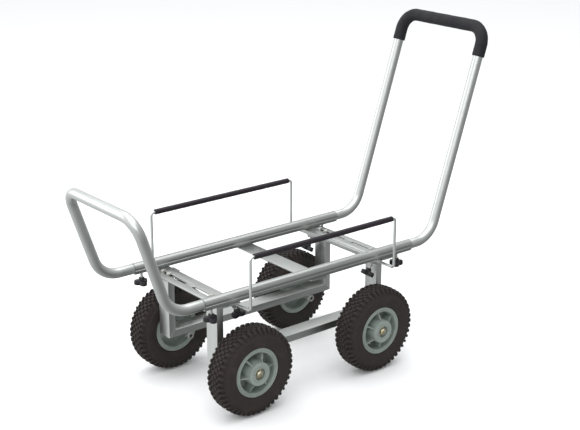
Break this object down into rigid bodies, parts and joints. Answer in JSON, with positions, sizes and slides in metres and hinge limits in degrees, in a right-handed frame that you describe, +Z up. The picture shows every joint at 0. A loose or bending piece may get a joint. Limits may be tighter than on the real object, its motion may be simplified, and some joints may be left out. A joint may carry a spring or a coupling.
{
  "type": "four-wheel garden cart",
  "caption": "Low aluminium garden cart on rubber-tyred wheels with adjustable track, slotted cross plates, side guards and a push handle at each end.",
  "frame": {"origin": "on the ground under the middle of the cart's overall length and width", "axes": "+X towards the tall rear handle, +Y to the cart's far side, +Z up"},
  "size_m": [1.2795, 0.501, 0.9885],
  "materials": {
    "aluminium": "satin mill finish",
    "foam": "matte closed-cell foam",
    "vinyl": "soft satin sleeve",
    "rubber": "matte",
    "rim": "moulded satin",
    "knob": "moulded satin",
    "zinc": "zinc plated",
    "steel": "drawn tube",
    "plug": "moulded",
    "bush": "moulded, plain"
  },
  "bodies": {
    "chassis": {"rail_near": "aluminium", "rail_far": "aluminium", "front_cross_plate": "aluminium", "middle_cross_plate": "aluminium", "rear_cross_plate": "aluminium", "guard_clamp_near_front": "zinc", "guard_clamp_near_rear": "zinc", "guard_clamp_far_front": "zinc", "guard_clamp_far_rear": "zinc"},
    "front_handle": {"front_handle": "aluminium"},
    "rear_handle": {"rear_handle": "aluminium", "rear_grip": "foam"},
    "near_frame": {"leg_frame_near": "aluminium", "leg_plug_near_front": "plug", "track_bolt_near_front_inner": "zinc", "track_bolt_near_front_outer": "zinc", "axle_near_front": "steel", "hub_nut_near_front": "zinc", "leg_plug_near_rear": "plug", "track_bolt_near_rear_inner": "zinc", "track_bolt_near_rear_outer": "zinc", "axle_near_rear": "steel", "hub_nut_near_rear": "zinc"},
    "far_frame": {"leg_frame_far": "aluminium", "leg_plug_far_front": "plug", "track_bolt_far_front_inner": "zinc", "track_bolt_far_front_outer": "zinc", "axle_far_front": "steel", "hub_nut_far_front": "zinc", "leg_plug_far_rear": "plug", "track_bolt_far_rear_inner": "zinc", "track_bolt_far_rear_outer": "zinc", "axle_far_rear": "steel", "hub_nut_far_rear": "zinc"},
    "wheel_near_front": {"tyre_near_front": "rubber", "rim_near_front": "rim", "hub_bush_near_front": "bush"},
    "wheel_near_rear": {"tyre_near_rear": "rubber", "rim_near_rear": "rim", "hub_bush_near_rear": "bush"},
    "wheel_far_front": {"tyre_far_front": "rubber", "rim_far_front": "rim", "hub_bush_far_front": "bush"},
    "wheel_far_rear": {"tyre_far_rear": "rubber", "rim_far_rear": "rim", "hub_bush_far_rear": "bush"},
    "near_guard": {"guard_rod_near": "aluminium", "guard_sleeve_near": "vinyl"},
    "far_guard": {"guard_rod_far": "aluminium", "guard_sleeve_far": "vinyl"},
    "guard_knob_near_front": {"guard_knob_near_front": "knob"},
    "guard_knob_near_rear": {"guard_knob_near_rear": "knob"},
    "guard_knob_far_front": {"guard_knob_far_front": "knob"},
    "guard_knob_far_rear": {"guard_knob_far_rear": "knob"},
    "handle_knob_near_front": {"handle_knob_near_front": "knob"},
    "handle_knob_near_rear": {"handle_knob_near_rear": "knob"},
    "handle_knob_far_front": {"handle_knob_far_front": "knob"},
    "handle_knob_far_rear": {"handle_knob_far_rear": "knob"}
  },
  "joints": [
    {"name": "front_handle_slide", "type": "slide", "parent": "chassis", "child": "front_handle", "axis": [-1, 0, 0], "range_m": [0, 0.03]},
    {"name": "rear_handle_slide", "type": "slide", "parent": "chassis", "child": "rear_handle", "axis": [1, 0, 0], "range_m": [0, 0.03]},
    {"name": "near_frame_slide", "type": "slide", "parent": "chassis", "child": "near_frame", "axis": [0, 1, 0], "range_m": [0, 0.075]},
    {"name": "far_frame_slide", "type": "slide", "parent": "chassis", "child": "far_frame", "axis": [0, -1, 0], "range_m": [0, 0.075]},
    {"name": "near_guard_slide", "type": "slide", "parent": "chassis", "child": "near_guard", "axis": [0, -1, 0], "range_m": [-0.035, 0.041]},
    {"name": "far_guard_slide", "type": "slide", "parent": "chassis", "child": "far_guard", "axis": [0, 1, 0], "range_m": [-0.057, 0.019]},
    {"name": "wheel_spin_near_front", "type": "hinge", "parent": "near_frame", "child": "wheel_near_front", "pos_m": [-0.28645, -0.19565, 0.13], "axis": [0, 1, 0], "continuous": true},
    {"name": "wheel_spin_near_rear", "type": "hinge", "parent": "near_frame", "child": "wheel_near_rear", "pos_m": [0.17155, -0.19565, 0.13], "axis": [0, 1, 0], "continuous": true},
    {"name": "wheel_spin_far_front", "type": "hinge", "parent": "far_frame", "child": "wheel_far_front", "pos_m": [-0.28645, 0.19565, 0.13], "axis": [0, 1, 0], "continuous": true},
    {"name": "wheel_spin_far_rear", "type": "hinge", "parent": "far_frame", "child": "wheel_far_rear", "pos_m": [0.17155, 0.19565, 0.13], "axis": [0, 1, 0], "continuous": true},
    {"name": "guard_knob_turn_near_front", "type": "hinge", "parent": "chassis", "child": "guard_knob_near_front", "pos_m": [-0.30845, -0.14, 0.31875], "axis": [0.5299, 0, -0.848], "range_deg": [0, 540]},
    {"name": "guard_knob_turn_near_rear", "type": "hinge", "parent": "chassis", "child": "guard_knob_near_rear", "pos_m": [0.21655, -0.14, 0.31875], "axis": [-0.5299, 0, -0.848], "range_deg": [0, 540]},
    {"name": "guard_knob_turn_far_front", "type": "hinge", "parent": "chassis", "child": "guard_knob_far_front", "pos_m": [-0.30845, 0.14, 0.31875], "axis": [0.5299, 0, -0.848], "range_deg": [0, 540]},
    {"name": "guard_knob_turn_far_rear", "type": "hinge", "parent": "chassis", "child": "guard_knob_far_rear", "pos_m": [0.21655, 0.14, 0.31875], "axis": [-0.5299, 0, -0.848], "range_deg": [0, 540]},
    {"name": "handle_knob_turn_near_front", "type": "hinge", "parent": "chassis", "child": "handle_knob_near_front", "pos_m": [-0.39845, -0.171, 0.3021], "axis": [0, 0, -1], "range_deg": [0, 540]},
    {"name": "handle_knob_turn_near_rear", "type": "hinge", "parent": "chassis", "child": "handle_knob_near_rear", "pos_m": [0.28055, -0.171, 0.3021], "axis": [0, 0, -1], "range_deg": [0, 540]},
    {"name": "handle_knob_turn_far_front", "type": "hinge", "parent": "chassis", "child": "handle_knob_far_front", "pos_m": [-0.39845, 0.171, 0.3021], "axis": [0, 0, -1], "range_deg": [0, 540]},
    {"name": "handle_knob_turn_far_rear", "type": "hinge", "parent": "chassis", "child": "handle_knob_far_rear", "pos_m": [0.28055, 0.171, 0.3021], "axis": [0, 0, -1], "range_deg": [0, 540]}
  ]
}
